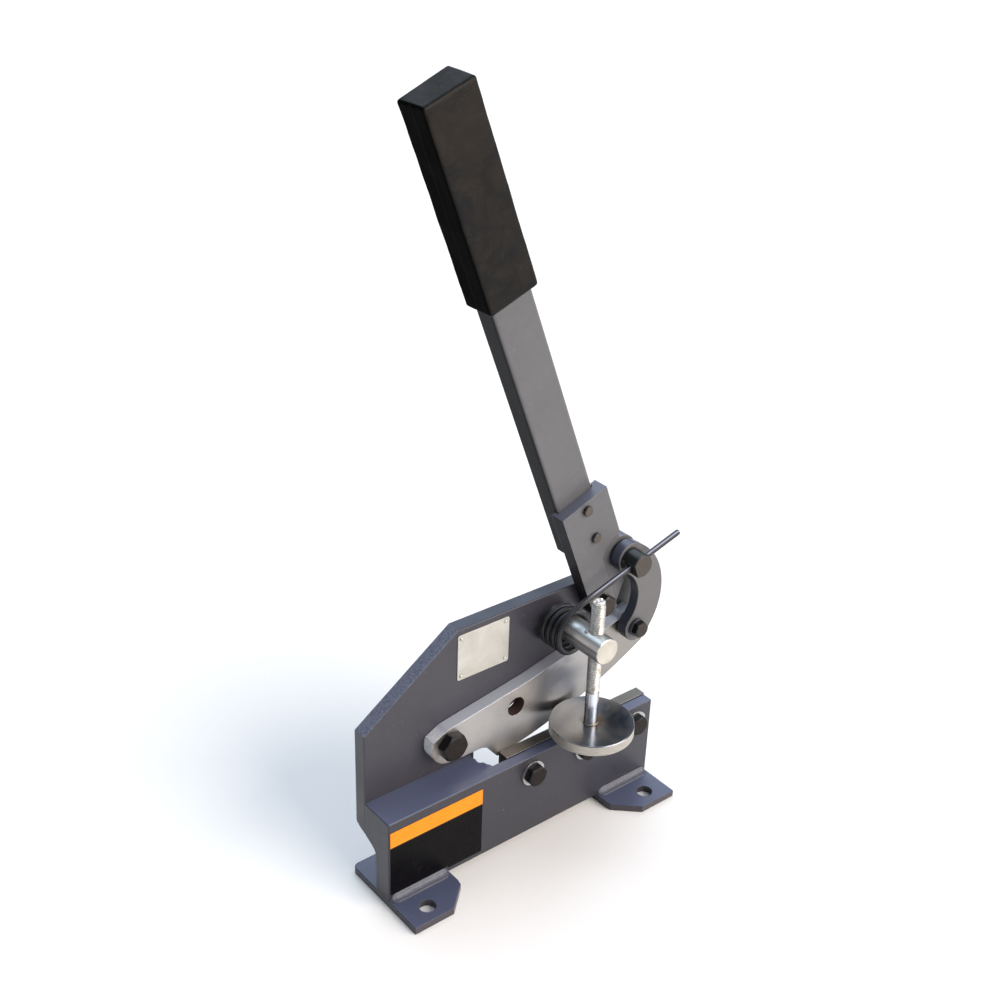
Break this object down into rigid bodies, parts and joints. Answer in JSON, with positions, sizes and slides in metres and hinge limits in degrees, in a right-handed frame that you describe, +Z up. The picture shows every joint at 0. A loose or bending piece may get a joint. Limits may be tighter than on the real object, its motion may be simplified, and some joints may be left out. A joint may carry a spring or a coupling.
{
  "type": "hand lever shear",
  "caption": "Bench mounted hand lever shear: long gripped lever turns a ground blade arm against a fixed lower blade through twin curved links, with screw hold-down.",
  "frame": {"origin": "centre of the four foot holes, on the ground plane under the feet", "axes": "+X right along the jaw seen from the front, +Y from the front face of the jaw to the back, +Z up"},
  "size_m": [0.2807, 0.108, 0.6107],
  "materials": {
    "frame_paint": "satin dark slate enamel over rough plate",
    "lever_paint": "satin dark grey enamel over casting",
    "ground_steel": "surface ground tool steel",
    "blade_steel": "ground tool steel with brown stain at one end",
    "black_steel": "black oxide, worn brown on the corners",
    "zinc_steel": "bright zinc plating",
    "polished_steel": "polished turned bar",
    "disc_steel": "mottled dark zinc plating, pale rim",
    "screw_steel": "zinc plated screw with yellow brown stain",
    "spring_steel": "oil tempered black spring wire",
    "grip_rubber": "mottled black rubber",
    "plate_aluminium": "plain cream aluminium plate",
    "decal_film": "plain film, orange band over black"
  },
  "bodies": {
    "frame": {"upper_plate": "frame_paint", "lower_jaw": "frame_paint", "left_foot": "frame_paint", "right_foot": "frame_paint", "left_weld_front": "frame_paint", "left_weld_rear": "frame_paint", "right_weld_front": "frame_paint", "right_weld_rear": "frame_paint", "lower_blade": "blade_steel", "blade_bolt_left": "black_steel", "blade_bolt_middle": "black_steel", "blade_bolt_right": "black_steel", "blade_washer_left": "zinc_steel", "blade_washer_middle": "zinc_steel", "blade_washer_right": "zinc_steel", "arm_pivot_bolt": "black_steel", "arm_pivot_nut": "black_steel", "lever_pivot_bolt": "black_steel", "lever_pivot_nut": "black_steel", "clamp_bar": "polished_steel", "clamp_bar_nut": "black_steel", "name_plate": "plate_aluminium", "front_decal": "decal_film", "spring_coil": "spring_steel"},
    "blade_arm": {"blade_arm": "ground_steel"},
    "lever": {"lever_casting": "lever_paint", "handle_tube": "lever_paint", "rubber_grip": "grip_rubber", "handle_rivet_upper": "lever_paint", "handle_rivet_lower": "lever_paint"},
    "links": {"front_link": "lever_paint", "rear_link": "lever_paint", "link_bolt": "black_steel", "link_nut": "black_steel", "link_collar": "lever_paint"},
    "link_pin": {"link_pin": "black_steel"},
    "spring_leg": {"spring_leg": "spring_steel"},
    "clamp": {"clamp_screw": "screw_steel", "clamp_foot": "disc_steel"}
  },
  "joints": [
    {"name": "lever_pivot", "type": "hinge", "parent": "frame", "child": "lever", "pos_m": [0.085, 0.017, 0.1853], "axis": [0, 1, 0], "range_deg": [0, 76], "stiffness_Nm_per_rad": 1.6, "springref_deg": -20.05},
    {"name": "arm_pivot", "type": "hinge", "parent": "frame", "child": "blade_arm", "pos_m": [-0.0635, 0.017, 0.1115], "axis": [0, 1, 0], "range_deg": [0, 14.75]},
    {"name": "link_swing", "type": "hinge", "parent": "lever", "child": "links", "pos_m": [0.1033, 0.017, 0.225], "axis": [0, 1, 0], "range_deg": [-56.25, 0]},
    {"name": "pin_swivel", "type": "hinge", "parent": "lever", "child": "link_pin", "pos_m": [0.1033, 0.017, 0.225], "axis": [0, 1, 0], "range_deg": [-37.55, 0]},
    {"name": "leg_swing", "type": "hinge", "parent": "frame", "child": "spring_leg", "pos_m": [0.048, -0.0074, 0.179], "axis": [0, 1, 0], "range_deg": [0, 38.47]},
    {"name": "clamp_screw_travel", "type": "slide", "parent": "frame", "child": "clamp", "axis": [0, 0, 1], "range_m": [-0.0142, 0.03]}
  ],
  "couplings": [
    {"joint": "arm_pivot", "follows": "lever_pivot", "ratio": 0.194},
    {"joint": "link_swing", "follows": "lever_pivot", "ratio": -0.74},
    {"joint": "pin_swivel", "follows": "lever_pivot", "ratio": -0.494},
    {"joint": "leg_swing", "follows": "lever_pivot", "ratio": 0.506}
  ]
}
